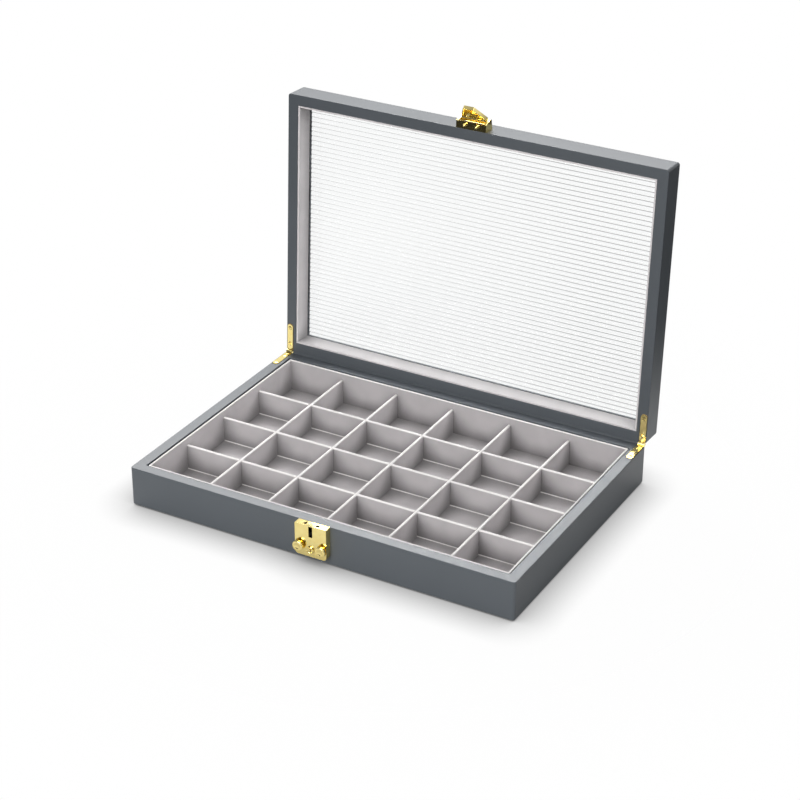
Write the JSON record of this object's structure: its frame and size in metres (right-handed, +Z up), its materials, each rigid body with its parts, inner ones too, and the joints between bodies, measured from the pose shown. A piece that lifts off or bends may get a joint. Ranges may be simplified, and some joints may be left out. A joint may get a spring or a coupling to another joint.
{
  "type": "jewelry box",
  "caption": "Flat leather-covered jewelry box, lid with a clear reeded window, velvet tray of square compartments, and a brass lock whose push buttons free the lid's flap.",
  "frame": {"origin": "centre of the felt underside that the box stands on", "axes": "+X to the right along the length, +Y to the hinge side at the back, +Z up"},
  "size_m": [0.35, 0.2864, 0.2975],
  "materials": {
    "leather": "satin, smooth",
    "fibreboard": "raw",
    "velvet": "short pile",
    "felt": "pressed felt",
    "clear_acrylic": "clear, reeded inside",
    "brass": "polished plate",
    "steel": "zinc plated"
  },
  "bodies": {
    "base": {"base_front_rail": "fibreboard", "tray_front_wall": "velvet", "base_back_rail": "fibreboard", "tray_back_wall": "velvet", "base_left_rail": "fibreboard", "tray_left_wall": "velvet", "base_right_rail": "fibreboard", "tray_right_wall": "velvet", "base_bottom_board": "fibreboard", "base_leather_cover": "leather", "base_felt": "felt", "tray_floor": "velvet", "long_divider_front": "velvet", "long_divider_middle": "velvet", "long_divider_rear": "velvet", "cross_divider_1": "velvet", "cross_divider_2": "velvet", "cross_divider_3": "velvet", "cross_divider_4": "velvet", "cross_divider_5": "velvet", "left_hinge_base_leaf": "brass", "left_hinge_pin": "brass", "left_catch_spring": "steel", "right_hinge_base_leaf": "brass", "right_hinge_pin": "brass", "right_catch_spring": "steel", "lock_case": "brass", "lock_back_plate": "steel"},
    "lid": {"lid_front_rail": "fibreboard", "lid_lining_front": "velvet", "lid_back_rail": "fibreboard", "lid_lining_back": "velvet", "lid_left_rail": "fibreboard", "lid_lining_left": "velvet", "lid_right_rail": "fibreboard", "lid_lining_right": "velvet", "lid_leather_cover": "leather", "left_hinge_lid_leaf": "brass", "right_hinge_lid_leaf": "brass", "window_pane": "clear_acrylic", "catch_bracket": "brass", "bracket_guide_pins": "brass", "catch_pin": "brass"},
    "flap": {"catch_flap": "brass"},
    "key_plug": {"key_plug": "brass"},
    "left_button": {"left_button": "brass"},
    "left_catch": {"left_catch": "steel"},
    "right_button": {"right_button": "brass"},
    "right_catch": {"right_catch": "steel"}
  },
  "joints": [
    {"name": "lid_hinge", "type": "hinge", "parent": "base", "child": "lid", "pos_m": [0, 0.12, 0.036], "axis": [1, 0, 0], "range_deg": [0, 93]},
    {"name": "flap_hinge", "type": "hinge", "parent": "lid", "child": "flap", "pos_m": [0, 0.14092, 0.28224], "axis": [1, 0, 0], "range_deg": [-55, 42]},
    {"name": "key_turn", "type": "hinge", "parent": "base", "child": "key_plug", "pos_m": [0, -0.1262, 0.0139], "axis": [0, 1, 0], "range_deg": [0, 90]},
    {"name": "left_button_push", "type": "slide", "parent": "base", "child": "left_button", "axis": [0, 1, 0], "range_m": [0, 0.0016], "stiffness_N_per_m": 200, "springref_m": -0.001},
    {"name": "left_catch_drop", "type": "slide", "parent": "base", "child": "left_catch", "axis": [0, 0, -1], "range_m": [0, 0.00096], "deforming": ["left_catch_spring"]},
    {"name": "right_button_push", "type": "slide", "parent": "base", "child": "right_button", "axis": [0, 1, 0], "range_m": [0, 0.0016], "stiffness_N_per_m": 200, "springref_m": -0.001},
    {"name": "right_catch_drop", "type": "slide", "parent": "base", "child": "right_catch", "axis": [0, 0, -1], "range_m": [0, 0.00096], "deforming": ["right_catch_spring"]}
  ],
  "couplings": [
    {"joint": "left_catch_drop", "follows": "left_button_push", "ratio": 0.6},
    {"joint": "right_catch_drop", "follows": "right_button_push", "ratio": 0.6}
  ]
}
